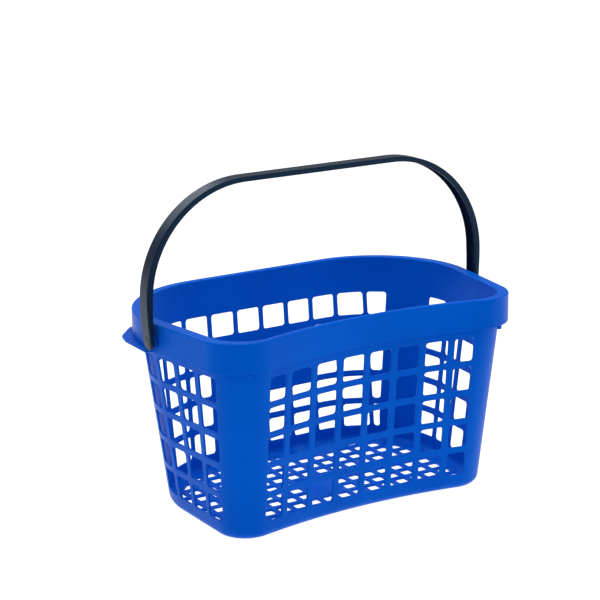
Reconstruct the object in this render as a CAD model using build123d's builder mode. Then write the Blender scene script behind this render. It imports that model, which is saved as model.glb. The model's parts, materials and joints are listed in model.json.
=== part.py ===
"""Hand-carried shopping basket: a one-piece lattice body with a swinging bail handle.

Frame: millimetres, +Z up. X runs along the basket, Y across it with the hollowed
hip side at -Y. The origin is under the middle of the body, on the surface that it stands on.
"""
import os
from dataclasses import dataclass
from math import acos, atan2, cos, degrees, hypot, radians, sin

from build123d import *

os.makedirs("parts", exist_ok=True)


@dataclass
class Plan:
    """Closed kidney-shaped outline, symmetric about X = 0."""

    half_length: float  # widest half length, on the back corner arc
    back: float  # Y of the straight back edge
    back_radius: float  # radius of the two large back corners
    lobe_x: float  # centre of each front lobe
    lobe_y: float
    lobe_radius: float
    hollow: float  # Y of the hollowed front edge at X = 0


# Body
BODY_HEIGHT = 237.0
RIM_PLAN = Plan(215.5, 138.2, 123.4, 152.4, -90.1, 48.1, -115.6)
WALL_TOP_PLAN = Plan(204.1, 130.6, 115.1, 147.4, -88.4, 42.1, -112.3)  # level with the skirt's bottom
BASE_PLAN = Plan(177.8, 115.3, 99.8, 137.9, -70.3, 37.2, -93.7)
WALL = 2.6
FLOOR = 3.0
BOTTOM_RADIUS = 9.0

# Rim
SKIRT_HEIGHT = 34.5
SKIRT_WALL = 2.4
LEDGE = 2.6  # thickness of the flat ring that joins the skirt to the wall
RIM_EDGE_RADIUS = 2.4
SKIRT_BOTTOM = BODY_HEIGHT - SKIRT_HEIGHT
WALL_TOP = BODY_HEIGHT - LEDGE

# Lattice openings, counted down from the top row
ROWS = 5
ROW_TOP = 191.8
ROW_PITCH = 35.9
OPENING_HEIGHT = 28.6
OPENING_RADIUS = 3.5
FRONT_COLUMNS = 4  # on each side of the middle
FRONT_PITCH = 36.1
FRONT_OPENING = 28.2
FRONT_LAST_OPENING = 23.2
BACK_FLAT_COLUMNS = 2
BACK_PITCH = 36.0
BACK_OPENING = 30.3
BACK_RIB = BACK_PITCH - BACK_OPENING
CORNER_LINES = (72.0, 108.0, 147.0)  # where the corner's columns start, along the outline from X = 0
CORNER_SWEEP = 43.5  # degrees of the corner arc, from +Y, at which its last opening ends
LABEL_ROWS = (1, 2)  # closed across the middle of the back wall
SIDE_OPENINGS_Y = (29.6, -5.6, -40.8, -76.0)  # where the lobes reach LOBES_Y; they spread in step
SIDE_OPENING = 28.0
LOBES_Y = -118.9

# Planes that divide the moulding into its named regions
FRONT_SPLIT = 139.0
BACK_SPLIT = 72.0
SIDE_SPLIT_BACK = 50.0
SIDE_SPLIT_FRONT = -99.0

# Floor lattice
CELL_PITCH = 20.5
CELL = 14.9
CELL_RADIUS = 1.5
CELL_COLUMNS = 19
CELL_ROWS = 13
LATTICE_CENTRE = (5.6, -9.6)  # middle of one of its cells
FLOOR_BORDER = 15.0
GATE_CELLS = ((-1, -1), (0, -1), (-1, 0), (0, 0))  # closed cells, counted from that one

# Handle and its pivots
PIVOT_Y = -8.8
PIVOT_Z = 217.0
STUD_ROOT_X = 205.0  # inside the skirt, so that the pad takes the skirt's own slant
STUD_RADIUS = 4.0
STUD_CLEARANCE = 0.05
STUD_TIP_X = 219.4
STUD_TIP_RADIUS = 0.8
PAD_RADIUS = 6.8
PAD_FACE_X = 216.2
SIDE_GAP = 0.35  # between the arm and the pad, and between the stud's tip and the bottom of its bore
BOSS_RADIUS = 7.5  # joins the arm's two flanges round the stud
HANDLE_WIDTH = 19.0
HANDLE_TOP = 389.2
HANDLE_HALF_SPAN = 225.5
HANDLE_BEND = 127.0
HANDLE_WEB = 2.6
HANDLE_FLANGE = 2.4
GRIP_DEPTH = 6.0
ARM_DEPTH = 7.6
ARM_END_X = 222.0  # outer face of each arm at its lower end
ARM_END_INNER_X = 216.8
ARM_END_RADIUS = 10.0
GRIP_SPLIT = 70.0
HANDLE_EDGE_RADIUS = 0.9

# Ledges that carry the folded handle, and the lugs under the rim
REST_TOP = 206.4
REST_THICKNESS = 3.2
REST_OUTLINE = ((222.8, -4.0), (222.8, 47.0), (218.5, 65.0), (196.0, 91.5), (184.0, 95.0))
REST_ROOT_X = 150.0  # inside the skirt
REST_CORNER_RADIUS = 12.0
LUG_PLACE = (166.0, -134.4)
LUG_SIZE = (5.0, 3.0, 4.0)
LUG_EDGE_RADIUS = 0.8

REACH = 400.0  # longer than anything that a cutting block has to cross
PASS = 1.0  # how far a cutting block runs past the faces that it cuts


def inset(plan, distance):
    """Return the outline moved inwards by a distance."""
    return Plan(
        plan.half_length - distance,
        plan.back - distance,
        plan.back_radius - distance,
        plan.lobe_x,
        plan.lobe_y,
        plan.lobe_radius - distance,
        plan.hollow + distance,
    )


def wall_plan(height, distance=0.0):
    """Return the wall's outer outline up to the skirt's bottom, moved inwards by a distance."""
    share = height / SKIRT_BOTTOM
    pairs = zip(vars(BASE_PLAN).values(), vars(WALL_TOP_PLAN).values())
    values = [low + (high - low) * share for low, high in pairs]
    return inset(Plan(*values), distance)


def outline_of(plan):
    """Return a plan's closed outline: straight back, corner arcs, ends, lobes and hollow."""
    corner_x = plan.half_length - plan.back_radius
    corner_y = plan.back - plan.back_radius
    span_x = plan.lobe_x - corner_x
    span_y = plan.lobe_y - corner_y
    shrink = acos((plan.back_radius - plan.lobe_radius) / hypot(span_x, span_y))
    end_angle = degrees(atan2(span_y, span_x) + shrink)
    rise = plan.lobe_y - plan.hollow
    hollow_radius = (plan.lobe_x**2 + rise**2 - plan.lobe_radius**2) / (2 * (plan.lobe_radius - rise))
    hollow_y = plan.hollow - hollow_radius
    meet_angle = degrees(atan2(plan.lobe_y - hollow_y, plan.lobe_x))
    with BuildLine() as outline:
        Line((0, plan.back), (corner_x, plan.back))
        corner = CenterArc((corner_x, corner_y), plan.back_radius, 90, end_angle - 90)
        lobe_turn = meet_angle - 180 - end_angle
        lobe = CenterArc((plan.lobe_x, plan.lobe_y), plan.lobe_radius, end_angle, lobe_turn)
        Line(corner @ 1, lobe @ 0)
        CenterArc((0, hollow_y), hollow_radius, meet_angle, 90 - meet_angle)
        mirror(about=Plane.YZ)
    return outline.line


def straight_block(plan, bottom, top):
    """Return an upright prism of a plan."""
    with BuildPart() as block:
        with BuildSketch(Plane.XY.offset(bottom)):
            add(outline_of(plan))
            make_face()
        extrude(amount=top - bottom)
    return block.part


def wall_block(bottom, top, distance, edge_radius):
    """Return the solid inside the wall: tapered with a rounded bottom, upright behind the skirt."""
    with BuildPart() as block:
        for height in (bottom, SKIRT_BOTTOM):
            with BuildSketch(Plane.XY.offset(height)):
                add(outline_of(wall_plan(height, distance)))
                make_face()
        loft(ruled=True)
        fillet(block.edges().group_by(Axis.Z)[0], edge_radius)
        add(straight_block(inset(WALL_TOP_PLAN, distance), SKIRT_BOTTOM, top))
    return block.part


def row_height(row):
    """Return the height of a row's middle."""
    return ROW_TOP - OPENING_HEIGHT / 2 - row * ROW_PITCH


def cut_openings(plane, centres, width):
    """Cut one rounded opening through the current part at each centre on a plane."""
    with BuildSketch(plane) as openings:
        with Locations(*centres):
            RectangleRounded(width, OPENING_HEIGHT, OPENING_RADIUS)
    extrude(openings.sketch, amount=REACH, mode=Mode.SUBTRACT)


def keep_block(low, high):
    """Keep only what the current part has inside a box."""
    centre = tuple((a + b) / 2 for a, b in zip(low, high))
    with Locations(centre):
        Box(*(b - a for a, b in zip(low, high)), mode=Mode.INTERSECT)


def finish(part, name):
    """Label a part and write its STEP file."""
    part.label = name
    export_step(part, f"parts/{name}.step")


# ---- Body shell, before it is divided ----
outside = wall_block(0, WALL_TOP, 0, BOTTOM_RADIUS)
inside = wall_block(FLOOR, BODY_HEIGHT, WALL, BOTTOM_RADIUS - WALL)

with BuildPart() as shell:
    add(outside)
    add(inside, mode=Mode.SUBTRACT)


# ---- Floor: a plate with a fine square lattice and a small closed pad ----
lattice_area = straight_block(wall_plan(0, FLOOR_BORDER), -PASS, FLOOR + PASS)

with BuildPart() as cells:
    with BuildSketch(Plane.XY.offset(-PASS)):
        with Locations(LATTICE_CENTRE):
            with GridLocations(CELL_PITCH, CELL_PITCH, CELL_COLUMNS, CELL_ROWS):
                RectangleRounded(CELL, CELL, CELL_RADIUS)
            with Locations(*((CELL_PITCH * column, CELL_PITCH * row) for column, row in GATE_CELLS)):
                Rectangle(CELL_PITCH, CELL_PITCH, mode=Mode.SUBTRACT)
    extrude(amount=FLOOR + 2 * PASS)
    add(lattice_area, mode=Mode.INTERSECT)

with BuildPart() as floor:
    add(shell.part)
    keep_block((-REACH, -REACH, 0), (REACH, REACH, FLOOR))
    add(cells.part, mode=Mode.SUBTRACT)

finish(floor.part, "floor")


# ---- Front wall: hollowed, with eight columns of openings ----
def front_columns():
    """Return (middle X, opening width) of each front column."""
    columns = []
    for index in range(FRONT_COLUMNS):
        width = FRONT_LAST_OPENING if index == FRONT_COLUMNS - 1 else FRONT_OPENING
        start = index * FRONT_PITCH + (FRONT_PITCH - FRONT_OPENING) / 2
        columns.append((start + width / 2, width))
    return columns


with BuildPart() as front_wall:
    add(shell.part)
    keep_block((-FRONT_SPLIT, -REACH, FLOOR), (FRONT_SPLIT, 0, WALL_TOP))
    for middle, width in front_columns():
        spots = [(side * middle, row_height(row)) for side in (-1, 1) for row in range(ROWS)]
        cut_openings(Plane.XZ, spots, width)

finish(front_wall.part, "front_wall")


# ---- Back wall: straight, with a closed label panel in the middle ----
with BuildPart() as back_wall:
    add(shell.part)
    keep_block((-BACK_SPLIT, 0, FLOOR), (BACK_SPLIT, REACH, WALL_TOP))
    open_rows = [row for row in range(ROWS) if row not in LABEL_ROWS]
    for index in range(BACK_FLAT_COLUMNS):
        middle = (index + 0.5) * BACK_PITCH
        spots = [(side * middle, row_height(row)) for side in (-1, 1) for row in open_rows]
        cut_openings(Plane.XZ.rotated((0, 0, 180)), spots, BACK_OPENING)

finish(back_wall.part, "back_wall")


# ---- End walls: four columns each ----
for side, name in ((-1, "left_wall"), (1, "right_wall")):
    near, far = sorted((side * FRONT_SPLIT, side * REACH))
    with BuildPart() as end_wall:
        add(shell.part)
        keep_block((near, SIDE_SPLIT_FRONT, FLOOR), (far, SIDE_SPLIT_BACK, WALL_TOP))
        facing = Plane(origin=(0, 0, 0), x_dir=(0, side, 0), z_dir=(side, 0, 0))
        for row in range(ROWS):
            height = row_height(row)
            plan = wall_plan(height)
            spread = (plan.lobe_y - plan.lobe_radius) / LOBES_Y
            spots = [(side * middle * spread, height) for middle in SIDE_OPENINGS_Y]
            cut_openings(facing, spots, SIDE_OPENING * spread)
    finish(end_wall.part, name)


# ---- Front corners: closed pillars round the lobes ----
for side, name in ((-1, "front_left_corner"), (1, "front_right_corner")):
    near, far = sorted((side * FRONT_SPLIT, side * REACH))
    with BuildPart() as front_corner:
        add(shell.part)
        keep_block((near, -REACH, FLOOR), (far, SIDE_SPLIT_FRONT, WALL_TOP))
    finish(front_corner.part, name)


# ---- Back corners: large arcs with three columns, the last of which narrows downwards ----
def corner_openings(plan):
    """Return (degrees from +Y about the arc's centre, width) of each opening at one height."""
    arc_start = plan.half_length - plan.back_radius
    last_end = arc_start + plan.back_radius * radians(CORNER_SWEEP)
    starts = [line + BACK_RIB / 2 for line in CORNER_LINES]
    ends = [line - BACK_RIB / 2 for line in CORNER_LINES[1:]] + [last_end]
    middles = [(start + end) / 2 for start, end in zip(starts, ends)]
    angles = [degrees((middle - arc_start) / plan.back_radius) for middle in middles]
    return list(zip(angles, (end - start for start, end in zip(starts, ends))))


for side, name in ((-1, "back_left_corner"), (1, "back_right_corner")):
    near, far = sorted((side * BACK_SPLIT, side * REACH))
    with BuildPart() as back_corner:
        add(shell.part)
        keep_block((near, SIDE_SPLIT_BACK, FLOOR), (far, REACH, WALL_TOP))
        for row in range(ROWS):
            height = row_height(row)
            plan = wall_plan(height)
            centre = (side * (plan.half_length - plan.back_radius), plan.back - plan.back_radius, 0)
            for angle, width in corner_openings(plan):
                turn = radians(side * angle)
                outwards = (sin(turn), cos(turn), 0)
                facing = Plane(origin=centre, x_dir=(-cos(turn), sin(turn), 0), z_dir=outwards)
                cut_openings(facing, [(0, height)], width)
    finish(back_corner.part, name)


# ---- Rim: a flat ledge over the wall with a skirt hanging outside it ----
rim_outer = straight_block(RIM_PLAN, SKIRT_BOTTOM, BODY_HEIGHT)
rim_pocket = straight_block(inset(RIM_PLAN, SKIRT_WALL), SKIRT_BOTTOM - PASS, WALL_TOP)
rim_mouth = straight_block(inset(WALL_TOP_PLAN, WALL), WALL_TOP - PASS, BODY_HEIGHT + PASS)

with BuildPart() as rim:
    add(rim_outer)
    fillet(rim.edges().group_by(Axis.Z)[-1], RIM_EDGE_RADIUS)
    add(rim_pocket, mode=Mode.SUBTRACT)
    add(rim_mouth, mode=Mode.SUBTRACT)

finish(rim.part, "rim")


# ---- Handle rests: ledges on the outside of the skirt, from each pivot to the back corner ----
skirt_block = straight_block(RIM_PLAN, SKIRT_BOTTOM - PASS, BODY_HEIGHT)

for side, name in ((-1, "left_handle_rest"), (1, "right_handle_rest")):
    outline = [(side * x, y) for x, y in REST_OUTLINE]
    inner = [(side * REST_ROOT_X, outline[-1][1]), (side * REST_ROOT_X, outline[0][1])]
    with BuildPart() as rest:
        with BuildSketch(Plane.XY.offset(REST_TOP - REST_THICKNESS)):
            with BuildLine():
                Polyline(*outline, *inner, close=True)
            make_face()
        extrude(amount=REST_THICKNESS)
        outer_corners = rest.edges().filter_by(Axis.Z).sort_by(Axis.Y)[2:4]
        fillet(outer_corners, REST_CORNER_RADIUS)
        add(skirt_block, mode=Mode.SUBTRACT)
    finish(rest.part, name)


# ---- Stacking lugs under the skirt at the front lobes ----
for side, name in ((-1, "left_stacking_lug"), (1, "right_stacking_lug")):
    lug_x, lug_y = LUG_PLACE
    with BuildPart() as lug:
        with Locations((side * lug_x, lug_y, SKIRT_BOTTOM - LUG_SIZE[2] / 2)):
            Box(*LUG_SIZE)
        fillet(lug.edges().group_by(Axis.Z)[0], LUG_EDGE_RADIUS)
    finish(lug.part, name)


# ---- Pivot studs: a pad on the skirt and a stud that sits in a blind bore in the handle's arm ----
def pivot_plane(side, distance):
    """Return the plane across one pivot's axis at a distance from X = 0, facing outwards."""
    return Plane(origin=(side * distance, PIVOT_Y, PIVOT_Z), x_dir=(0, side, 0), z_dir=(side, 0, 0))


for side, name in ((-1, "left_pivot_stud"), (1, "right_pivot_stud")):
    with BuildPart() as stud:
        with BuildSketch(pivot_plane(side, STUD_ROOT_X)):
            Circle(PAD_RADIUS)
        extrude(amount=PAD_FACE_X - STUD_ROOT_X)
        add(skirt_block, mode=Mode.SUBTRACT)
        with BuildSketch(pivot_plane(side, PAD_FACE_X)):
            Circle(STUD_RADIUS)
        extrude(amount=STUD_TIP_X - PAD_FACE_X)
        outermost = stud.edges().filter_by(GeomType.CIRCLE).sort_by(Axis.X)[-1 if side > 0 else 0]
        fillet(outermost, STUD_TIP_RADIUS)
    finish(stud.part, name)


# ---- Handle: a channel bent into a bail, open inwards ----
def bail_outline(depth_grip, depth_arm, end_x):
    """Return half of the bail's outline, closed along the bottom, at depths below its outer line."""
    half_span = HANDLE_HALF_SPAN - depth_arm
    top = HANDLE_TOP - depth_grip
    radius = HANDLE_BEND - (depth_grip + depth_arm) / 2
    shoulder = top - radius
    foot_z = PIVOT_Z - ARM_END_RADIUS - PASS
    with BuildLine() as outline:
        crown = Line((0, top), (half_span - radius, top))
        bend = RadiusArc(crown @ 1, (half_span, shoulder), radius)
        arm = TangentArc(bend @ 1, (end_x, foot_z), tangent=(0, -1))
        foot = Line(arm @ 1, (0, foot_z))
        Line(foot @ 1, crown @ 0)
    return outline.line


def bail_block(depth_grip, depth_arm, end_x, width):
    """Return a slab of the bail's outline at given depths, centred on the handle's plane."""
    with BuildPart() as slab:
        with BuildSketch(Plane.XZ.offset(-PIVOT_Y - width / 2)):
            add(bail_outline(depth_grip, depth_arm, end_x))
            make_face()
            mirror(about=Plane.YZ)
        extrude(amount=width)
    return slab.part


bail_outer = bail_block(0, 0, ARM_END_X, HANDLE_WIDTH)
channel_width = HANDLE_WIDTH - 2 * HANDLE_FLANGE
bail_channel = bail_block(HANDLE_WEB, HANDLE_WEB, ARM_END_X - HANDLE_WEB, channel_width)
bail_inner = bail_block(GRIP_DEPTH, ARM_DEPTH, ARM_END_INNER_X, HANDLE_WIDTH + 2 * PASS)

with BuildPart() as foot_space:
    with BuildSketch(pivot_plane(1, 0)):
        Rectangle(2 * HANDLE_WIDTH, 2 * ARM_END_RADIUS, align=(Align.CENTER, Align.MAX))
        Circle(ARM_END_RADIUS, mode=Mode.SUBTRACT)
    extrude(amount=REACH, both=True)

with BuildPart() as bail:
    add(bail_outer)
    long_edges = bail.edges().filter_by(Axis.Y, reverse=True)
    fillet(long_edges.filter_by_position(Axis.Z, PIVOT_Z, REACH), HANDLE_EDGE_RADIUS)
    add(bail_channel, mode=Mode.SUBTRACT)
    for side in (-1, 1):
        boss_x = PAD_FACE_X + SIDE_GAP
        with BuildSketch(pivot_plane(side, boss_x)):
            Circle(BOSS_RADIUS)
        extrude(amount=ARM_END_X - boss_x)
        with BuildSketch(pivot_plane(side, PAD_FACE_X)):
            Circle(STUD_RADIUS + STUD_CLEARANCE)
        extrude(amount=STUD_TIP_X + SIDE_GAP - PAD_FACE_X, mode=Mode.SUBTRACT)
    add(bail_inner, mode=Mode.SUBTRACT)
    add(foot_space.part, mode=Mode.SUBTRACT)

with BuildPart() as handle_grip:
    add(bail.part)
    keep_block((-GRIP_SPLIT, -REACH, 0), (GRIP_SPLIT, REACH, REACH))

finish(handle_grip.part, "handle_grip")

for side, name in ((-1, "handle_left_arm"), (1, "handle_right_arm")):
    near, far = sorted((side * GRIP_SPLIT, side * REACH))
    with BuildPart() as handle_arm:
        add(bail.part)
        keep_block((near, -REACH, 0), (far, REACH, REACH))
    finish(handle_arm.part, name)
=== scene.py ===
"""Looks of a shopping basket: one blue lattice moulding and one dark bail handle.

Everything is in metres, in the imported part's frame: +X along the basket, +Y to its
straight back wall, +Z up, with the origin on the surface that it stands on.
"""
import json
from math import acos, asin, atan2, cos, pi, radians, sin, tan

import bmesh
import bpy
from mathutils import Matrix, Vector
from mathutils.geometry import tessellate_polygon


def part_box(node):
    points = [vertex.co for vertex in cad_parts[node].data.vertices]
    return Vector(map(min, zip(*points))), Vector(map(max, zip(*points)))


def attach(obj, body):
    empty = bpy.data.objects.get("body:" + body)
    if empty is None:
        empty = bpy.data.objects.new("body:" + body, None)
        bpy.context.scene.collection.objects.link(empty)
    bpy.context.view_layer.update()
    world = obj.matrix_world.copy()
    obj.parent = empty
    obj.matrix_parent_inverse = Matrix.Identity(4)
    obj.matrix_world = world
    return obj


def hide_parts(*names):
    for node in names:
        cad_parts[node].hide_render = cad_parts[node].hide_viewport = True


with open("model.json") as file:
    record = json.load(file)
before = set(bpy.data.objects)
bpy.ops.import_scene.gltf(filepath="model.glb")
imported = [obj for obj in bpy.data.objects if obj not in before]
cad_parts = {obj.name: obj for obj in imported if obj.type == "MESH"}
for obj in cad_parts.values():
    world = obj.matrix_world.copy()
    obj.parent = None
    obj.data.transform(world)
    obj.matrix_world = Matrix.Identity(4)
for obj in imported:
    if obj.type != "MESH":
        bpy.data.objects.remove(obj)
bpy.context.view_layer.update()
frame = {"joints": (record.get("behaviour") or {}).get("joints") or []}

MM = 0.001
rim_low, rim_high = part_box("rim")
rest_low, rest_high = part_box("right_handle_rest")
lug_low, lug_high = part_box("right_stacking_lug")
grip_low, grip_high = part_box("handle_grip")
arm_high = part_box("handle_right_arm")[1]
swing = frame["joints"][0]
PIVOT_Y, PIVOT_Z = swing["pos_m"][1:]

# ---- The body's plan: a straight back, two large corners, tapered ends, two lobes and a hollow ----
# Each plan holds half length, back, corner radius, lobe X, lobe Y, lobe radius and hollow.
RIM_LOBE_RADIUS = 48.1 * MM
RIM_PLAN = (
    rim_high.x,
    rim_high.y,
    123.4 * MM,
    152.4 * MM,
    rim_low.y + RIM_LOBE_RADIUS,
    RIM_LOBE_RADIUS,
    -115.6 * MM,
)
WALL_TOP_PLAN = tuple(v * MM for v in (204.1, 130.6, 115.1, 147.4, -88.4, 42.1, -112.3))
BASE_PLAN = tuple(v * MM for v in (177.8, 115.3, 99.8, 137.9, -70.3, 37.2, -93.7))
BODY_HEIGHT = rim_high.z
WALL = 2.6 * MM
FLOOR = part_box("floor")[1].z

# ---- Rim ----
SKIRT_BOTTOM = rim_low.z
SKIRT_WALL = 2.4 * MM
LEDGE = 2.6 * MM
RIM_OUTER_EDGE = 2.4 * MM
RIM_INNER_EDGE = 1.4 * MM
SKIRT_EDGE = 0.8 * MM
BOTTOM_RADIUS = 9.0 * MM
INNER_RING_RISE = 30.0 * MM  # above the skirt's bottom, of the first ring inside below the rim's edge

# ---- Lattice ----
ROWS = 5
ROW_TOP = 191.8 * MM
ROW_PITCH = 35.9 * MM
OPENING_HEIGHT = 28.6 * MM
OPENING_RADIUS = 3.5 * MM
FRONT_COLUMNS = 4
FRONT_PITCH = 36.1 * MM
FRONT_RIB = 7.9 * MM
FRONT_LAST_OPENING = 23.2 * MM
BACK_PITCH = 36.0 * MM
BACK_RIB = 5.7 * MM
BACK_COLUMNS = 2
CORNER_LINES = (72.0 * MM, 108.0 * MM, 147.0 * MM)  # along the outline, from X = 0
CORNER_SWEEP = radians(43.5)
END_COLUMNS = 4
END_START_Y = 47.2 * MM
END_PITCH = 35.2 * MM
END_RIB = 7.2 * MM
LOBES_Y = -118.9 * MM  # the end wall's columns spread in step with the lobes
LABEL_ROWS = (1, 2)
NARROWEST = 0.4 * MM  # straight width of an opening that its column's taper has nearly closed
OPENING_EDGE = 0.55 * MM  # rounding of the openings' edges

# ---- Floor lattice ----
CELL_PITCH = 20.5 * MM
CELL = 14.9 * MM
CELL_RADIUS = 1.5 * MM
CELL_COLUMNS = 19
CELL_ROWS = 13
CELL_EDGE = 0.4 * MM
SMALLEST_CELL = 2.0 * MM  # side of the smallest cut-off cell that is still open, as a square
FLOOR_BORDER = 15.0 * MM
FLOOR_RING = 11.0 * MM  # inside the walls' bottom bend, where the flat floor starts
LATTICE_X = 5.6 * MM
LATTICE_Y = -9.6 * MM
GATE_CELLS = ((-1, -1), (0, -1), (-1, 0), (0, 0))  # closed cells, counted from the lattice's middle one

# ---- Handle: a channel bent into a bail, open inwards ----
HANDLE_WIDTH = grip_high.y - grip_low.y
HANDLE_TOP = grip_high.z
HALF_SPAN = arm_high.x
BEND = 127.0 * MM  # radius of the bend's outer line
HANDLE_WEB = 2.6 * MM
HANDLE_FLANGE = 2.4 * MM
GRIP_DEPTH = 6.0 * MM
ARM_DEPTH = 7.6 * MM
FOOT_DEPTH = 5.2 * MM
FOOT_X = 222.0 * MM  # where the arm's outer line would meet the foot's lowest line
HANDLE_EDGE = 1.3 * MM
LIP_EDGE = 0.7 * MM
CHANNEL_FILLET = 0.8 * MM
CHANNEL_START = 9.0 * MM  # above the pivot; the foot is solid below it

# ---- Pivot studs, handle rests and stacking lugs ----
PAD_FACE_X = 216.2 * MM
STUD_ROOT_X = 212.6 * MM  # inside the skirt's plastic
PAD_RADIUS = 6.8 * MM
PAD_EDGE = 0.6 * MM
STUD_RADIUS = 4.0 * MM
STUD_EDGE = 0.8 * MM
STUD_CLEARANCE = 0.05 * MM
STUD_TIP_X = 219.4 * MM
TIP_GAP = 0.35 * MM  # from the stud's tip to the bottom of its bore
BOSS_RADIUS = 6.2 * MM  # of the faint round boss on the outside of each foot
BOSS_RISE = 0.35 * MM
REST_BEND = 12.0 * MM
REST_EDGE = 0.9 * MM
REST_OUTLINE = (
    (rest_high.x, 47.0 * MM),
    (218.5 * MM, 65.0 * MM),
    (196.0 * MM, 91.5 * MM),
    (184.0 * MM, rest_high.y),
)
LUG_EDGE = 0.8 * MM

# ---- Fineness of the meshes ----
MERGE_DISTANCE = 0.004 * MM
CORNER_SHARE = 3  # steps along each half of an opening's rounded corner
WIDE_STEPS = 4  # along an opening's straight width
TALL_STEPS = 2  # along an opening's straight height
BACK_PILLAR_STEPS = 14  # round the closed strip between the back corner and the end wall
FRONT_PILLAR_STEPS = 18  # round a front pillar
BEND_STEPS = 8  # round the bottom bend
SKIRT_EDGE_STEPS = 3
RIM_OUTER_STEPS = 6
RIM_INNER_STEPS = 4
UPPER_WALL_STEPS = 4  # from the top row to the rim, outside
UPPER_INSIDE_STEPS = 3
CELL_CORNER_STEPS = 4
CIRCLE_STEPS = 48
ARM_STEPS = 8
SHOULDER_STEPS = 44
CROWN_STEPS = 12
FOOT_STEPS = 20
REST_STEPS = 24
HALVINGS = 26  # of the search for a line on an outline


# ======================================================================== mesh helpers
def join_up(bm):
    """Merge the points that meet and turn every face outwards."""
    bmesh.ops.remove_doubles(bm, verts=bm.verts, dist=MERGE_DISTANCE)
    bmesh.ops.recalc_face_normals(bm, faces=bm.faces)


def new_object(name, bm):
    """Return a smooth-shaded object made from a bmesh."""
    join_up(bm)
    mesh = bpy.data.meshes.new(name)
    bm.to_mesh(mesh)
    bm.free()
    mesh.shade_smooth()
    made = bpy.data.objects.new(name, mesh)
    bpy.context.scene.collection.objects.link(made)
    return made


def new_piece(name, bm, material, body, nodes):
    """Make a piece from a bmesh, give it a material and put it on its body."""
    piece = new_object(name, bm)
    piece.data.materials.append(material)
    weighted = piece.modifiers.new("weighted_normals", "WEIGHTED_NORMAL")
    weighted.weight = 100
    weighted.keep_sharp = True
    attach(piece, body)
    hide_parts(*nodes)
    return piece


def bridge(bm, first, second, closed=True):
    """Join two loops of positions, point to point, with quads."""
    a = [bm.verts.new(p) for p in first]
    b = [bm.verts.new(p) for p in second]
    count = len(a)
    for i in range(count if closed else count - 1):
        j = (i + 1) % count
        bm.faces.new((a[i], a[j], b[j], b[i]))


def bridge_all(bm, loops, closed=True):
    """Join each loop to the next."""
    for first, second in zip(loops, loops[1:]):
        bridge(bm, first, second, closed)


def new_face(bm, corners):
    """Add one face from its corners' positions."""
    bm.faces.new([bm.verts.new(p) for p in corners])


def stacked(bm, rings):
    """Add a closed shape that joins each ring to the next and caps the first and the last."""
    bridge_all(bm, rings)
    new_face(bm, rings[0])
    new_face(bm, rings[-1])


CIRCLE = [2 * pi * i / CIRCLE_STEPS for i in range(CIRCLE_STEPS)]


def turned_pin(bm, profile, side):
    """Add a closed turned shape about a pivot's axis from (X, radius) pairs."""
    rings = []
    for x, radius in profile:
        middle = Vector((side * x, PIVOT_Y, PIVOT_Z))
        rings.append([middle + radius * Vector((0, cos(a), sin(a))) for a in CIRCLE])
    stacked(bm, rings)


def mirror_copy(bm):
    """Add the mirror image of everything so far on the -X side."""
    copied = bmesh.ops.duplicate(bm, geom=bm.verts[:] + bm.edges[:] + bm.faces[:])["geom"]
    points = [item for item in copied if isinstance(item, bmesh.types.BMVert)]
    bmesh.ops.scale(bm, vec=(-1, 1, 1), verts=points)


def mixed(a, b, share):
    """Return the value a share of the way from a to b."""
    return a + (b - a) * share


def steps(a, b, count):
    """Return count + 1 evenly spaced values from a to b."""
    return [mixed(a, b, i / count) for i in range(count + 1)]


def quarter_round(radius, count=4):
    """Return (inset, level) pairs that round an edge, from its side to its flat."""
    return [(radius * (1 - cos(a)), radius * (1 - sin(a))) for a in steps(0, pi / 2, count)]


# ======================================================================== outline of the body
def wall_plan(height):
    """Return the plan of the walls' outer face at a height; they are upright behind the skirt."""
    share = min(height / SKIRT_BOTTOM, 1)
    return tuple(mixed(low, high, share) for low, high in zip(BASE_PLAN, WALL_TOP_PLAN))


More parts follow.
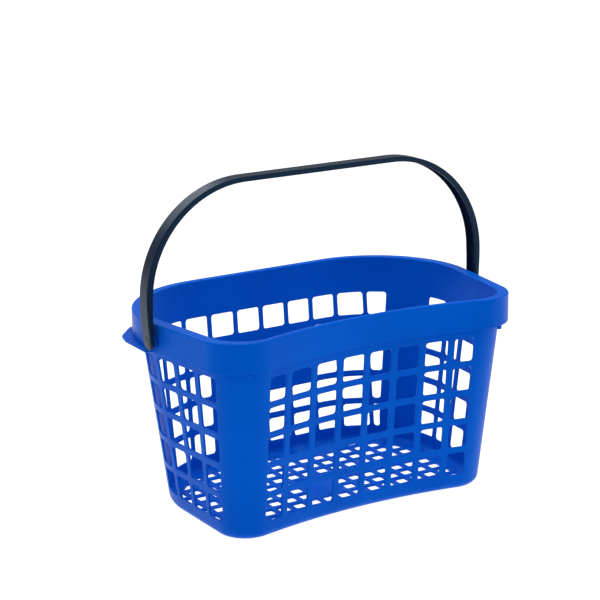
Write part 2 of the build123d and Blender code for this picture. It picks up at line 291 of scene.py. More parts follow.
class Outline:
    """Half of a plan's outline, measured from the middle of the back to the middle of the front."""

    def __init__(self, plan):
        half_length, back, self.radius, lobe_x, lobe_y, lobe_radius, hollow = plan
        self.corner_start = half_length - self.radius
        corner = Vector((self.corner_start, back - self.radius))
        lobe = Vector((lobe_x, lobe_y))
        span = lobe - corner
        tangent = atan2(span.y, span.x) + acos((self.radius - lobe_radius) / span.length)
        rise = lobe_y - hollow
        hollow_radius = (lobe_x**2 + rise**2 - lobe_radius**2) / (2 * (lobe_radius - rise))
        deep = Vector((0, hollow - hollow_radius))
        meet = atan2(lobe_y - deep.y, lobe_x)
        along = Vector((cos(tangent), sin(tangent)))
        self.spans = [
            self.line(Vector((0, back)), Vector((self.corner_start, back)), Vector((0, 1))),
            self.arc(corner, self.radius, pi / 2, tangent, 1),
            self.line(corner + along * self.radius, lobe + along * lobe_radius, along),
            self.arc(lobe, lobe_radius, tangent, meet - pi, 1),
            self.arc(deep, hollow_radius, meet, pi / 2, -1),
        ]
        self.spread = (lobe_y - lobe_radius) / LOBES_Y
        self.length = sum(span[0] for span in self.spans)
        to_lobe = sum(span[0] for span in self.spans[:3])
        self.lowest = to_lobe + lobe_radius * (tangent + pi / 2)

    @staticmethod
    def line(start, end, normal):
        """Return (length, place at a share) of a straight span."""
        return (end - start).length, lambda share: (start.lerp(end, share), normal)

    @staticmethod
    def arc(centre, radius, start, end, side):
        """Return (length, place at a share) of an arc, whose outward normal has a side."""

        def place(share):
            angle = mixed(start, end, share)
            along = Vector((cos(angle), sin(angle)))
            return centre + along * radius, along * side

        return abs(end - start) * radius, place

    def at(self, distance):
        """Return (point, outward normal) at a distance along the outline."""
        for length, place in self.spans:
            if distance <= length:
                return place(distance / length)
            distance -= length
        return self.spans[-1][1](1)

    def reach(self, axis, value):
        """Return the distance at which X (on the front) or Y (on the end) falls to a value."""
        low, high = (self.corner_start, self.lowest) if axis == 1 else (self.lowest, self.length)
        for _ in range(HALVINGS):
            middle = (low + high) / 2
            if self.at(middle)[0][axis] > value:
                low = middle
            else:
                high = middle
        return low


outlines = {}


def outline(plan):
    """Return the outline of a plan, made once."""
    if plan not in outlines:
        outlines[plan] = Outline(plan)
    return outlines[plan]


def point(plan, height, distance, depth):
    """Return the position at a distance along a plan's outline, moved inwards by a depth."""
    place, normal = outline(plan).at(distance)
    return Vector((*(place - normal * depth), height))


# ======================================================================== columns of the lattice
class Column:
    """One upright strip of the walls between two lines: with openings, or closed in count steps."""

    def __init__(self, start, end, cut=None, closed_rows=(), count=None):
        self.start = start
        self.end = end
        self.cut = cut
        self.closed_rows = closed_rows
        self.count = count

    def opening_edges(self, plan):
        """Return the distances of the straight parts' ends of this column's openings."""
        first, last = (edge(outline(plan)) for edge in self.cut)
        first += OPENING_RADIUS
        return first, max(last - OPENING_RADIUS, first + NARROWEST)

    def stations(self, plan):
        """Return the distances of the mesh lines from this column's start to its end."""
        start, end = self.start(outline(plan)), self.end(outline(plan))
        if not self.cut:
            return steps(start, end, self.count)
        first, last = self.opening_edges(plan)
        lead = steps(start, first, CORNER_SHARE)[:-1]
        return lead + steps(first, last, WIDE_STEPS) + steps(last, end, CORNER_SHARE)[1:]


def along_back(distance):
    """Return the line at a distance from the middle of the back."""
    return lambda line: distance


def along_end(y):
    """Return the line on the end wall that is at one Y where the lobes reach LOBES_Y."""
    return lambda line: line.reach(1, y * line.spread)


def along_front(x):
    """Return the upright line at one X on the front wall."""
    return lambda line: line.reach(0, x)


def in_corner(shift):
    """Return the line where the back corner's last opening ends, shifted along the outline."""
    return lambda line: line.corner_start + line.radius * CORNER_SWEEP + shift


def lattice_columns():
    """Return the columns of half of the body, from the middle of the back to that of the front."""
    columns = []
    for i in range(BACK_COLUMNS):
        start, end = i * BACK_PITCH, (i + 1) * BACK_PITCH
        cut = (along_back(start + BACK_RIB / 2), along_back(end - BACK_RIB / 2))
        columns.append(Column(along_back(start), along_back(end), cut, LABEL_ROWS))
    for start, end in zip(CORNER_LINES, CORNER_LINES[1:]):
        cut = (along_back(start + BACK_RIB / 2), along_back(end - BACK_RIB / 2))
        columns.append(Column(along_back(start), along_back(end), cut))
    start = CORNER_LINES[-1]
    cut = (along_back(start + BACK_RIB / 2), in_corner(0))
    columns.append(Column(along_back(start), in_corner(BACK_RIB), cut))
    columns.append(Column(in_corner(BACK_RIB), along_end(END_START_Y), count=BACK_PILLAR_STEPS))
    for i in range(END_COLUMNS):
        start = END_START_Y - i * END_PITCH
        end = start - END_PITCH
        cut = (along_end(start - END_RIB / 2), along_end(end + END_RIB / 2))
        columns.append(Column(along_end(start), along_end(end), cut))
    pillar_x = (FRONT_COLUMNS - 1) * FRONT_PITCH + FRONT_LAST_OPENING + FRONT_RIB
    columns.append(Column(along_end(end), along_front(pillar_x), count=FRONT_PILLAR_STEPS))
    for i in reversed(range(FRONT_COLUMNS)):
        inner = i * FRONT_PITCH
        outer = pillar_x if i == FRONT_COLUMNS - 1 else inner + FRONT_PITCH
        cut = (along_front(outer - FRONT_RIB / 2), along_front(inner + FRONT_RIB / 2))
        columns.append(Column(along_front(outer), along_front(inner), cut))
    return columns


COLUMNS = lattice_columns()


def ring(plan, height, depth):
    """Return the half ring of positions round the body on every column's mesh lines."""
    distances = [0.0]
    for column in COLUMNS:
        distances += column.stations(plan)[1:]
    return [point(plan, height, distance, depth) for distance in distances]


def wall_ring(height, depth):
    """Return a half ring on the walls."""
    return ring(wall_plan(height), height, depth)


# ======================================================================== rows of the lattice
def row_levels(row):
    """Return the mesh heights of one row, from the middle of the rib below to the one above."""
    top = ROW_TOP - row * ROW_PITCH
    bottom = top - OPENING_HEIGHT
    rib = (ROW_PITCH - OPENING_HEIGHT) / 2
    low, high = bottom + OPENING_RADIUS, top - OPENING_RADIUS
    lead = steps(bottom - rib, low, CORNER_SHARE)[:-1]
    return lead + steps(low, high, TALL_STEPS) + steps(high, top + rib, CORNER_SHARE)[1:]


def cell_rows(column, levels, depth):
    """Return the rows of positions across a cell of the walls."""
    rows = []
    for height in levels:
        plan = wall_plan(height)
        rows.append([point(plan, height, d, depth) for d in column.stations(plan)])
    return rows


def closed_cell(bm, column, levels):
    """Add both faces of a closed cell of the walls."""
    for depth in (0, WALL):
        bridge_all(bm, cell_rows(column, levels, depth), closed=False)


def cell_boundary(column, levels, depth):
    """Return the positions round a cell's outside, starting at its lower first corner."""
    rows = cell_rows(column, levels, depth)
    right = [row[-1] for row in rows]
    left = [row[0] for row in rows]
    return rows[0][:-1] + right[:-1] + rows[-1][:0:-1] + left[:0:-1]


def opening_loop(column, levels, grown, depth):
    """Return the positions round a rounded opening, in step with the cell's boundary."""
    low, high = levels[CORNER_SHARE], levels[-1 - CORNER_SHARE]
    radius = OPENING_RADIUS + grown
    corners = ((0, low), (1, low), (1, high), (0, high))
    spots = []
    for side in range(4):
        start = radians(225 + 90 * side)
        side_steps = WIDE_STEPS if side % 2 == 0 else TALL_STEPS
        (share_a, z_a), (share_b, z_b) = corners[side], corners[(side + 1) % 4]
        for i in range(CORNER_SHARE):
            angle = start + radians(45) * i / CORNER_SHARE
            spots.append((share_a, radius * cos(angle), z_a + radius * sin(angle)))
        angle = start + radians(45)
        for i in range(side_steps):
            share = i / side_steps
            z = mixed(z_a, z_b, share) + radius * sin(angle)
            spots.append((mixed(share_a, share_b, share), radius * cos(angle), z))
        for i in range(CORNER_SHARE):
            angle = start + radians(45) * (1 + i / CORNER_SHARE)
            spots.append((share_b, radius * cos(angle), z_b + radius * sin(angle)))
    loop = []
    for share, shift, height in spots:
        plan = wall_plan(height)
        first, last = column.opening_edges(plan)
        loop.append(point(plan, height, mixed(first, last, share) + shift, depth))
    return loop


def rounded_edge(thickness, edge, count=3):
    """Return (grown, depth) pairs that round an opening's edge on both faces of a wall."""
    quarter = [(level, inset) for inset, level in quarter_round(edge, count)]
    return quarter + [(grown, thickness - depth) for grown, depth in reversed(quarter)]


def open_cell(bm, column, levels):
    """Add a cell with a round-edged opening."""
    loops = [cell_boundary(column, levels, 0)]
    for grown, depth in rounded_edge(WALL, OPENING_EDGE):
        loops.append(opening_loop(column, levels, grown, depth))
    loops.append(cell_boundary(column, levels, WALL))
    bridge_all(bm, loops)


# ======================================================================== the body's moulding
def rim_profile():
    """Return (depth, height) pairs round the rim, from its ledge down the skirt and up the outside."""
    profile = [(SKIRT_WALL, BODY_HEIGHT - LEDGE), (SKIRT_WALL, SKIRT_BOTTOM + SKIRT_EDGE)]
    skirt_edge = quarter_round(SKIRT_EDGE, SKIRT_EDGE_STEPS)
    profile += [(SKIRT_WALL - inset, SKIRT_BOTTOM + level) for inset, level in skirt_edge]
    profile += [(level, SKIRT_BOTTOM + inset) for inset, level in skirt_edge]
    outer_edge = quarter_round(RIM_OUTER_EDGE, RIM_OUTER_STEPS)
    return profile + [(inset, BODY_HEIGHT - level) for inset, level in outer_edge]


def body_profile():
    """Return the half rings under the lattice outside, over the rim, and under the lattice inside."""
    bottom = row_levels(ROWS - 1)[0]
    top = row_levels(0)[-1]
    outside = [ring(wall_plan(0), 0, FLOOR_RING)]
    bend = quarter_round(BOTTOM_RADIUS, BEND_STEPS)
    outside += [wall_ring(level, inset) for inset, level in reversed(bend)]
    outside += [wall_ring(mixed(BOTTOM_RADIUS, bottom, share), 0) for share in (0.5, 1)]

    upper = [wall_ring(height, 0) for height in steps(top, BODY_HEIGHT - LEDGE, UPPER_WALL_STEPS)]
    upper += [ring(RIM_PLAN, height, depth) for depth, height in rim_profile()]
    inner_edge = quarter_round(RIM_INNER_EDGE, RIM_INNER_STEPS)
    upper += [wall_ring(BODY_HEIGHT - inset, WALL - level) for inset, level in inner_edge]
    down = steps(SKIRT_BOTTOM + INNER_RING_RISE, top, UPPER_INSIDE_STEPS)
    upper += [wall_ring(height, WALL) for height in down]

    inner_bend = BOTTOM_RADIUS - WALL
    middle = mixed(bottom, FLOOR + inner_bend, 0.5)
    inside = [wall_ring(height, WALL) for height in (bottom, middle)]
    bend = quarter_round(inner_bend, BEND_STEPS)
    inside += [wall_ring(FLOOR + level, WALL + inset) for inset, level in bend]
    inside.append(ring(wall_plan(0), FLOOR, FLOOR_RING))
    return outside, upper, inside


def clipped(polygon, low, high):
    """Return the part of a closed polygon inside an upright rectangle."""
    for axis in (0, 1):
        for sign, limit in ((1, low[axis]), (-1, -high[axis])):
            kept = []
            for here, there in zip(polygon, polygon[1:] + polygon[:1]):
                a, b = sign * here[axis] - limit, sign * there[axis] - limit
                if a >= 0:
                    kept.append(here)
                if (a > 0 > b) or (a < 0 < b):
                    kept.append(here.lerp(there, a / (a - b)))
            polygon = kept
    return polygon


def area(polygon):
    """Return a polygon's signed area."""
    pairs = zip(polygon, polygon[1:] + polygon[:1])
    return sum(a.x * b.y - b.x * a.y for a, b in pairs) / 2


SHARPEST_MITRE = 0.8  # least squared length of two neighbouring normals' sum


def grown_loop(polygon, distance):
    """Return a left-turning polygon with each side moved outwards by a distance."""
    loop = []
    for before, here, after in zip(polygon[-1:] + polygon[:-1], polygon, polygon[1:] + polygon[:1]):
        first = (here - before).normalized()
        second = (after - here).normalized()
        normal = Vector((first.y + second.y, -first.x - second.x))
        shift = normal * (2 * distance / max(normal.length_squared, SHARPEST_MITRE))
        loop.append(here + shift)
    return loop


def rounded_square(x, y, half, radius):
    """Return a square with rounded corners, turning left."""
    loop = []
    for turn, (side_x, side_y) in enumerate(((1, 1), (-1, 1), (-1, -1), (1, -1))):
        centre = Vector((x + side_x * (half - radius), y + side_y * (half - radius)))
        for angle in steps(turn * pi / 2, (turn + 1) * pi / 2, CELL_CORNER_STEPS):
            loop.append(centre + radius * Vector((cos(angle), sin(angle))))
    return loop


def mirrored_loop(half):
    """Return a closed loop from its half on the +X side."""
    return half + [Vector((-p.x, *p[1:])) for p in half[-2:0:-1]]


NEARLY_WHOLE = 0.999  # share of a cell inside the border from which it counts as whole


def floor_cells():
    """Return the openings of the floor's lattice, cut off at its border."""
    border = mirrored_loop([p.xy for p in ring(wall_plan(0), 0, FLOOR_BORDER)])
    cells = []
    for column in range(-(CELL_COLUMNS // 2), CELL_COLUMNS // 2 + 1):
        for row in range(-(CELL_ROWS // 2), CELL_ROWS // 2 + 1):
            if (column, row) in GATE_CELLS:
                continue
            middle = Vector((LATTICE_X + column * CELL_PITCH, LATTICE_Y + row * CELL_PITCH))
            half = Vector((CELL, CELL)) / 2
            inside = clipped(border, middle - half, middle + half)
            if len(inside) < 3:
                continue
            if area(inside) < 0:
                inside.reverse()
            if area(inside) > CELL**2 * NEARLY_WHOLE:
                cells.append(rounded_square(*middle, CELL / 2, CELL_RADIUS))
            elif area(inside) > SMALLEST_CELL**2:
                cells.append(inside)
    return cells


def add_floor(bm):
    """Fill the ring at the bottom with a plate that has a round-edged opening at each cell."""
    cells = floor_cells()
    for cell in cells:
        loops = []
        for grown, depth in rounded_edge(FLOOR, CELL_EDGE):
            loops.append([Vector((*p, FLOOR - depth)) for p in grown_loop(cell, grown)])
        bridge_all(bm, loops)
    for height in (0, FLOOR):
        loops = [mirrored_loop(ring(wall_plan(0), height, FLOOR_RING))]
        loops += [[Vector((*p, height)) for p in grown_loop(cell, CELL_EDGE)] for cell in cells]
        verts = [bm.verts.new(p) for loop in loops for p in loop]
        for corners in tessellate_polygon(loops):
            bm.faces.new([verts[i] for i in corners])


def basket_mesh():
    """Return the mesh of the whole body moulding."""
    bm = bmesh.new()
    outside, upper, inside = body_profile()
    for rings in (outside, upper, inside):
        bridge_all(bm, rings, closed=False)
    for row in range(ROWS):
        levels = row_levels(row)
        for column in COLUMNS:
            if column.cut and row not in column.closed_rows:
                open_cell(bm, column, levels)
            else:
                closed_cell(bm, column, levels)
    mirror_copy(bm)
    add_floor(bm)
    return bm


# ======================================================================== the bail handle
SHOULDER_Z = HANDLE_TOP - BEND
FOOT_DROP = SHOULDER_Z - (PIVOT_Z - HANDLE_WIDTH / 2)
ARM_BOW = (FOOT_DROP**2 + (HALF_SPAN - FOOT_X) ** 2) / (2 * (HALF_SPAN - FOOT_X))
PIVOT_ANGLE = asin((SHOULDER_Z - PIVOT_Z) / ARM_BOW)
ARM_LENGTH = ARM_BOW * PIVOT_ANGLE
BEND_LENGTH = BEND * pi / 2
CROWN_LENGTH = HALF_SPAN - BEND
BAIL_LENGTH = ARM_LENGTH + BEND_LENGTH + CROWN_LENGTH


def eased(share):
    """Return a share that starts and ends gently."""
    return share * share * (3 - 2 * share)


def bail_line(distance):
    """Return (outer X and Z, inward direction, depth) at a distance along the bail from its pivot."""
    if distance < ARM_LENGTH:
        angle = PIVOT_ANGLE * (distance / ARM_LENGTH - 1)
        along = Vector((cos(angle), sin(angle)))
        place = Vector((HALF_SPAN - ARM_BOW, SHOULDER_Z)) + along * ARM_BOW
        share = max(0, min(1, distance / ARM_LENGTH))
        return place, -along, mixed(FOOT_DEPTH, ARM_DEPTH, share)
    distance -= ARM_LENGTH
    if distance < BEND_LENGTH:
        angle = distance / BEND
        along = Vector((cos(angle), sin(angle)))
        place = Vector((CROWN_LENGTH, SHOULDER_Z)) + along * BEND
        return place, -along, mixed(ARM_DEPTH, GRIP_DEPTH, eased(distance / BEND_LENGTH))
    distance -= BEND_LENGTH
    return Vector((CROWN_LENGTH - distance, HANDLE_TOP)), Vector((0, -1)), GRIP_DEPTH


def on_bail(distance, across, down, from_lip=False):
    """Return the position on the bail: along it, across it, and down from its outer face or its lip."""
    place, inwards, depth = bail_line(distance)
    place = place + inwards * (depth - down if from_lip else down)
    return Vector((place.x, PIVOT_Y + across, place.y))


def bail_stations(start):
    """Return the distances of the mesh lines along half of the bail."""
    arm = steps(start, ARM_LENGTH, ARM_STEPS)
    bend = steps(ARM_LENGTH, ARM_LENGTH + BEND_LENGTH, SHOULDER_STEPS)
    return arm + bend[1:] + steps(bend[-1], BAIL_LENGTH, CROWN_STEPS)[1:]


def bail_border(inset, down, from_lip):
    """Return the positions from the bail's crown round its foot and back, inset from its sides."""
    half = HANDLE_WIDTH / 2 - inset
    up = bail_stations(CHANNEL_START)
    spots = [(distance, half) for distance in reversed(up)]
    spots += [(-half * sin(a), half * cos(a)) for a in steps(0, pi, FOOT_STEPS)]
    spots += [(distance, -half) for distance in up]
    return [on_bail(distance, across, down, from_lip) for distance, across in spots]


def channel_section():
    """Return (across, down, from lip) of the points across the channel, from lip to lip."""
    wall = HANDLE_WIDTH / 2 - HANDLE_FLANGE
    side = [(HANDLE_WIDTH / 2 - LIP_EDGE, 0, True)]
    side += [(wall + inset, level, True) for inset, level in reversed(quarter_round(LIP_EDGE))]
    fillet = quarter_round(CHANNEL_FILLET)
    side += [(wall - inset, HANDLE_WEB + level, False) for inset, level in fillet]
    return side + [(-across, down, from_lip) for across, down, from_lip in reversed(side)]


def bail_mesh():
    """Return the mesh of the bail before its pivot bores: rounded feet, and a channel inside."""
    bm = bmesh.new()
    outer = [bail_border(inset, level, False) for inset, level in reversed(quarter_round(HANDLE_EDGE))]
    lip = [bail_border(inset, level, True) for inset, level in quarter_round(LIP_EDGE)]
    bridge_all(bm, outer + lip, closed=False)
    up = bail_stations(CHANNEL_START)
    for border, solid_from in ((outer[0], 0), (lip[-1], len(up) - 1)):
        for i in range(solid_from, len(border) // 2):
            new_face(bm, (border[i], border[i + 1], border[-2 - i], border[-1 - i]))
    sections = [[on_bail(distance, *spot) for spot in channel_section()] for distance in up]
    bridge_all(bm, sections, closed=False)
    new_face(bm, sections[0])
    mirror_copy(bm)
    return bm


def combine(piece, bm, operation):
    """Cut a closed mesh out of a piece or unite it with the piece."""
    tool = new_object("tool", bm)
    tool_mesh = tool.data
    step = piece.modifiers.new("step", "BOOLEAN")
    step.operation = operation
    step.solver = "EXACT"
    step.object = tool
    piece.modifiers.move(len(piece.modifiers) - 1, 0)  # before the weighted normals
    with bpy.context.temp_override(object=piece):
        bpy.ops.object.modifier_apply(modifier=step.name)
    bpy.data.objects.remove(tool)
    bpy.data.meshes.remove(tool_mesh)


def pivot_bores():
    """Return the blind bores for the studs, one in each foot of the bail."""
    bm = bmesh.new()
    hole = STUD_RADIUS + STUD_CLEARANCE
    for side in (-1, 1):
        turned_pin(bm, ((STUD_ROOT_X, hole), (STUD_TIP_X + TIP_GAP, hole)), side)
    return bm


def foot_bosses():
    """Return the low round bosses on the outside of the bail's feet, with rounded edges."""
    bm = bmesh.new()
    profile = [(BOSS_RADIUS, HANDLE_WEB / 2)]
    profile += [(BOSS_RADIUS - inset, level - BOSS_RISE) for inset, level in quarter_round(BOSS_RISE)]
    rings = []
    for radius, down in profile:
        rings.append([on_bail(radius * sin(a), radius * cos(a), down) for a in CIRCLE])
    stacked(bm, rings)
    mirror_copy(bm)
    return bm


# ======================================================================== studs, rests and lugs
def stud_mesh(side):
    """Return a pivot stud: a pad on the skirt, and a round-edged stud that sits in the handle's bore."""
    bm = bmesh.new()
    profile = [(STUD_ROOT_X, PAD_RADIUS)]
    profile += [(PAD_FACE_X - level, PAD_RADIUS - inset) for inset, level in quarter_round(PAD_EDGE)]
    profile += [(PAD_FACE_X, STUD_RADIUS)]
    profile += [(STUD_TIP_X - level, STUD_RADIUS - inset) for inset, level in quarter_round(STUD_EDGE)]
    turned_pin(bm, profile, side)
    return bm


LONGEST_REACH = 0.49  # of a rounded corner along each of its sides, as a share of the side


def rounded_path(points, radius, count=8):
    """Return an open path with its inner corners rounded."""
    path = [points[0]]
    for before, corner, after in zip(points, points[1:], points[2:]):
        back, on = before - corner, after - corner
        half = back.angle(on) / 2
        reach = min(radius / tan(half), LONGEST_REACH * min(back.length, on.length))
        start, end = corner + back.normalized() * reach, corner + on.normalized() * reach
        for share in steps(0, 1, count):
            path.append(start.lerp(corner, share).lerp(corner.lerp(end, share), share))
    return path + [points[-1]]


def rest_mesh(side):
    """Return a handle rest: a flat ledge on the skirt with rounded edges."""
    corners = [Vector((rest_high.x, rest_low.y))] + [Vector(p) for p in REST_OUTLINE]
    line = outline(RIM_PLAN)
    along = steps(line.reach(1, rest_high.y), line.reach(1, rest_low.y), REST_STEPS)
    skirt = [place - normal * SKIRT_WALL / 2 for place, normal in map(line.at, along)]
    border = rounded_path(corners, REST_BEND) + skirt
    edge = quarter_round(REST_EDGE)
    profile = [(inset, rest_high.z - level) for inset, level in reversed(edge)]
    profile += [(inset, rest_low.z + level) for inset, level in edge]
    loops = []
    for inset, height in profile:
        loops.append([Vector((side * p.x, p.y, height)) for p in grown_loop(border, -inset)])
    bm = bmesh.new()
    bridge_all(bm, loops)
    for loop in (loops[0], loops[-1]):
        verts = [bm.verts.new(p) for p in loop]
        for triangle in tessellate_polygon([loop]):
            bm.faces.new([verts[i] for i in triangle])
    return bm


def lug_mesh(side):
    """Return a stacking lug: a small block with rounded edges, let into the skirt's bottom."""
    bm = bmesh.new()
    size = lug_high - lug_low
    middle = (lug_high + lug_low) / 2
    middle.x *= side
    into = Matrix.Translation(middle) @ Matrix.Diagonal((*size, 1))
    bmesh.ops.create_cube(bm, size=1, matrix=into)
    bmesh.ops.bevel(bm, geom=bm.edges[:], offset=LUG_EDGE, segments=3, profile=0.5, affect="EDGES")
    return bm


# ======================================================================== materials
COLOUR_A, COLOUR_B, COLOUR_RESULT = 6, 7, 2  # sockets of a mix node that mixes colours


class Nodes:
    """Short names for the nodes that the plastics use."""

    def __init__(self, material):
        material.use_nodes = True
        self.tree = material.node_tree
        self.shader = self.tree.nodes["Principled BSDF"]
        self.place = self.tree.nodes.new("ShaderNodeTexCoord").outputs["Object"]

    def link(self, source, target):
        """Join an output to an input."""
        self.tree.links.new(source, target)

    def noise(self, scale, detail=3.0, roughness=0.5, vector=None):
        """Return a noise value on the object's own coordinates."""
        node = self.tree.nodes.new("ShaderNodeTexNoise")
        node.inputs["Scale"].default_value = scale
        node.inputs["Detail"].default_value = detail
        node.inputs["Roughness"].default_value = roughness
        self.link(vector or self.place, node.inputs["Vector"])
        return node.outputs["Fac"]

    def stretched(self, scales):
        """Return the object's coordinates multiplied by three scales."""
        node = self.tree.nodes.new("ShaderNodeMapping")
        node.inputs["Scale"].default_value = scales
        self.link(self.place, node.inputs["Vector"])
        return node.outputs["Vector"]

    def ranged(self, value, low, high, to_low=0.0, to_high=1.0):
        """Return a value carried smoothly from one range to another."""
        node = self.tree.nodes.new("ShaderNodeMapRange")
        node.interpolation_type = "SMOOTHSTEP"
        limits = {"From Min": low, "From Max": high, "To Min": to_low, "To Max": to_high}
        for name, number in limits.items():
            node.inputs[name].default_value = number
        self.link(value, node.inputs["Value"])
        return node.outputs["Result"]

    def maths(self, operation, first, second):
        """Return the result of one operation on two values or numbers."""
        node = self.tree.nodes.new("ShaderNodeMath")
        node.operation = operation
        for index, value in enumerate((first, second)):
            if isinstance(value, (int, float)):
                node.inputs[index].default_value = value
            else:
                self.link(value, node.inputs[index])
        return node.outputs["Value"]

    def colours(self, share, first, second):
        """Return a mix of two colours, or of an output and a colour, by a share."""
        node = self.tree.nodes.new("ShaderNodeMix")
        node.data_type = "RGBA"
        self.link(share, node.inputs["Factor"])
        for index, value in ((COLOUR_A, first), (COLOUR_B, second)):
            if isinstance(value, tuple):
                node.inputs[index].default_value = (*value, 1)
            else:
                self.link(value, node.inputs[index])
        return node.outputs[COLOUR_RESULT]

    def height(self):
        """Return the object's own Z."""
        node = self.tree.nodes.new("ShaderNodeSeparateXYZ")
        self.link(self.place, node.inputs["Vector"])
        return node.outputs["Z"]

    def bump(self, value, distance, strength=1.0, under=None):
        """Return a normal raised by a value, over an earlier bump."""
        node = self.tree.nodes.new("ShaderNodeBump")
        node.inputs["Distance"].default_value = distance
        node.inputs["Strength"].default_value = strength
        self.link(value, node.inputs["Height"])
        if under:
            self.link(under, node.inputs["Normal"])
        return node.outputs["Normal"]


GRAIN_HEIGHT = 0.02 * MM
SCRATCH_HEIGHT = 0.01 * MM
WAVE_HEIGHT = 0.5 * MM  # of the slight unevenness of the body's faces
SCUFF_HEIGHT = 14.0 * MM  # up to which the body's bottom edge is scuffed
DEEP_BLUE = (0.0, 0.090, 0.56)
FLOW_BLUE = (0.0, 0.105, 0.62)
WORN_BLUE = (0.05, 0.19, 0.62)
NAVY = (0.003, 0.010, 0.024)
FLOW_NAVY = (0.005, 0.014, 0.033)


def body_plastic():
    """Blue polypropylene: satin, with flow clouds, a fine grain, hair scratches and scuffed low edges."""
    material = bpy.data.materials.new("body_plastic")
    nodes = Nodes(material)
    shader = nodes.shader
    flow = nodes.ranged(nodes.noise(9, detail=4, roughness=0.55), 0.3, 0.7)
    tint = nodes.colours(flow, DEEP_BLUE, FLOW_BLUE)
    lines = nodes.noise(1, roughness=0.6, vector=nodes.stretched((60, 60, 900)))
    scratch = nodes.ranged(lines, 0.66, 0.74)
    low = nodes.ranged(nodes.height(), SCUFF_HEIGHT, 0.0)
    patches = nodes.ranged(nodes.noise(70, detail=5, roughness=0.65), 0.46, 0.68)
    scuff = nodes.maths("MULTIPLY", low, patches)
    worn = nodes.colours(nodes.maths("MULTIPLY", scuff, 0.4), tint, WORN_BLUE)
    nodes.link(worn, shader.inputs["Base Color"])
    mottle = nodes.noise(140, detail=2, roughness=0.6)
    rough = nodes.ranged(mottle, 0.3, 0.7, to_low=0.34, to_high=0.42)
    rough = nodes.maths("ADD", rough, nodes.maths("MULTIPLY", scratch, 0.10))
    rough = nodes.maths("ADD", rough, nodes.maths("MULTIPLY", scuff, 0.2))
    nodes.link(rough, shader.inputs["Roughness"])
    waves = nodes.bump(nodes.noise(26, detail=2), WAVE_HEIGHT, 0.5)
    grain = nodes.bump(nodes.noise(1500, detail=2, roughness=0.6), GRAIN_HEIGHT, 0.6, waves)
    nodes.link(nodes.bump(scratch, SCRATCH_HEIGHT, 0.5, grain), shader.inputs["Normal"])
    shader.inputs["IOR"].default_value = 1.49
    shader.inputs["Specular IOR Level"].default_value = 0.08
    shader.inputs["Specular Tint"].default_value = (0.0, 0.25, 1.0, 1)
    return material


def handle_plastic():
    """Dark navy plastic: half gloss, with a faint grain and fine rubbing along the grip."""
    material = bpy.data.materials.new("handle_plastic")
    nodes = Nodes(material)
    shader = nodes.shader
    flow = nodes.ranged(nodes.noise(14, detail=4, roughness=0.6), 0.3, 0.7)
    nodes.link(nodes.colours(flow, NAVY, FLOW_NAVY), shader.inputs["Base Color"])
    lines = nodes.noise(1, detail=4, roughness=0.65, vector=nodes.stretched((70, 900, 70)))
    scratch = nodes.ranged(lines, 0.6, 0.72)
    mottle = nodes.noise(180, roughness=0.6)
    rough = nodes.ranged(mottle, 0.3, 0.7, to_low=0.30, to_high=0.38)
    rough = nodes.maths("ADD", rough, nodes.maths("MULTIPLY", scratch, 0.12))
    nodes.link(rough, shader.inputs["Roughness"])
    grain = nodes.bump(nodes.noise(1300, detail=2, roughness=0.6), GRAIN_HEIGHT, 0.6)
    nodes.link(nodes.bump(scratch, SCRATCH_HEIGHT, 0.5, grain), shader.inputs["Normal"])
    shader.inputs["IOR"].default_value = 1.5
    shader.inputs["Specular IOR Level"].default_value = 0.3
    shader.inputs["Specular Tint"].default_value = (0.2, 0.5, 1.0, 1)
    return material


BODY_MATERIAL = body_plastic()
HANDLE_MATERIAL = handle_plastic()
BODY_NODES = [
    "floor",
    "front_wall",
    "back_wall",
    "left_wall",
    "right_wall",
    "front_left_corner",
    "front_right_corner",
    "back_left_corner",
    "back_right_corner",
    "rim",
]
new_piece("basket_moulding", basket_mesh(), BODY_MATERIAL, "basket", BODY_NODES)
FITTINGS = ((rest_mesh, "handle_rest"), (lug_mesh, "stacking_lug"), (stud_mesh, "pivot_stud"))
for side, word in ((-1, "left"), (1, "right")):
    for mesh_of, ending in FITTINGS:
        node = f"{word}_{ending}"
        new_piece(f"{node}_detail", mesh_of(side), BODY_MATERIAL, "basket", [node])
HANDLE_NODES = ["handle_grip", "handle_left_arm", "handle_right_arm"]
bail = new_piece("bail_handle", bail_mesh(), HANDLE_MATERIAL, "handle", HANDLE_NODES)
combine(bail, pivot_bores(), "DIFFERENCE")
combine(bail, foot_bosses(), "UNION")


# ======================================================================== floor, light and camera
STUDIO_WIDTH = 60


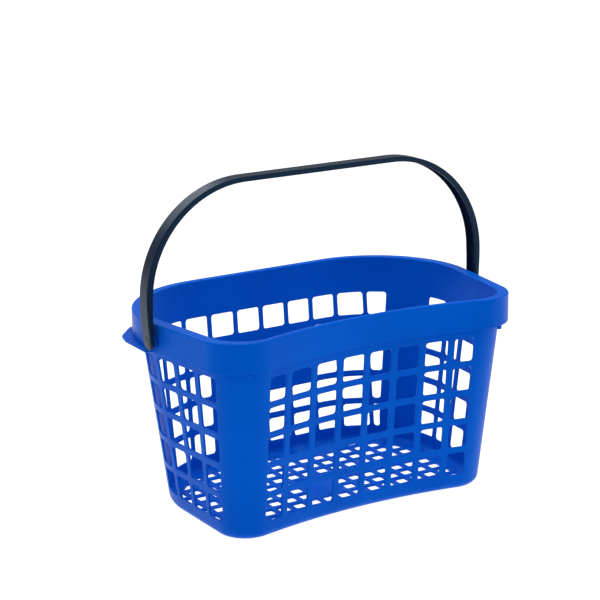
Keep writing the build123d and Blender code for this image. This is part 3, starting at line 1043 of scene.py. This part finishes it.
def pale_floor():
    """Add a wide, pale floor under the basket that glows a little less than white."""
    bpy.ops.mesh.primitive_plane_add(size=STUDIO_WIDTH, location=(0, 0, 0))
    plane = bpy.context.object
    plane.name = "studio_floor"
    material = bpy.data.materials.new("studio_floor")
    material.use_nodes = True
    shader = material.node_tree.nodes["Principled BSDF"]
    shader.inputs["Base Color"].default_value = (0.25, 0.25, 0.25, 1)
    shader.inputs["Roughness"].default_value = 0.9
    shader.inputs["Emission Color"].default_value = (1, 1, 1, 1)
    shader.inputs["Emission Strength"].default_value = 0.97
    plane.data.materials.append(material)


BASKET_MIDDLE = Vector((0, 0, 0.15))


def soft_light(name, position, size, power):
    """Add one large soft box that points at the basket."""
    data = bpy.data.lights.new(name, "AREA")
    data.shape = "RECTANGLE"
    data.size, data.size_y = size
    data.energy = power
    light = bpy.data.objects.new(name, data)
    light.location = position
    light.rotation_euler = (BASKET_MIDDLE - light.location).to_track_quat("-Z", "Y").to_euler()
    bpy.context.scene.collection.objects.link(light)


def lights():
    """Light the scene evenly: a bright surround and large soft boxes."""
    world = bpy.data.worlds.new("studio")
    world.use_nodes = True
    surround = world.node_tree.nodes["Background"]
    surround.inputs["Color"].default_value = (1, 1, 1, 1)
    surround.inputs["Strength"].default_value = 0.3
    bpy.context.scene.world = world
    soft_light("top_box", position=(0, 0, 2.2), size=(2.0, 2.0), power=36)
    soft_light("back_box", position=(-0.5, 2.3, 2.0), size=(2.6, 1.1), power=22)
    soft_light("front_left_box", position=(-1.6, -1.9, 1.3), size=(1.6, 1.6), power=2)
    soft_light("right_box", position=(2.2, -0.6, 1.0), size=(1.4, 1.4), power=12)


CAMERA_AZIMUTH = radians(-31.19)
CAMERA_DOWN = radians(15.23)
CAMERA_ROLL = radians(-0.90)
CAMERA_PLACE = Vector((-1.0248, -1.6590, 0.7599))
CAMERA_LENS = 104.2
CAMERA_SENSOR = 36.0


def camera():
    """Add the camera in front of the basket's hollowed side, to its left and above."""
    data = bpy.data.cameras.new("camera")
    data.lens = CAMERA_LENS
    data.sensor_width = CAMERA_SENSOR
    viewer = bpy.data.objects.new("camera", data)
    level = Matrix.Rotation(CAMERA_AZIMUTH, 4, "Z") @ Matrix.Rotation(pi / 2 - CAMERA_DOWN, 4, "X")
    turn = level @ Matrix.Rotation(CAMERA_ROLL, 4, "Z")
    viewer.matrix_world = Matrix.Translation(CAMERA_PLACE) @ turn
    bpy.context.scene.collection.objects.link(viewer)
    bpy.context.scene.camera = viewer


pale_floor()
lights()
camera()
bpy.context.scene.view_settings.view_transform = "Standard"
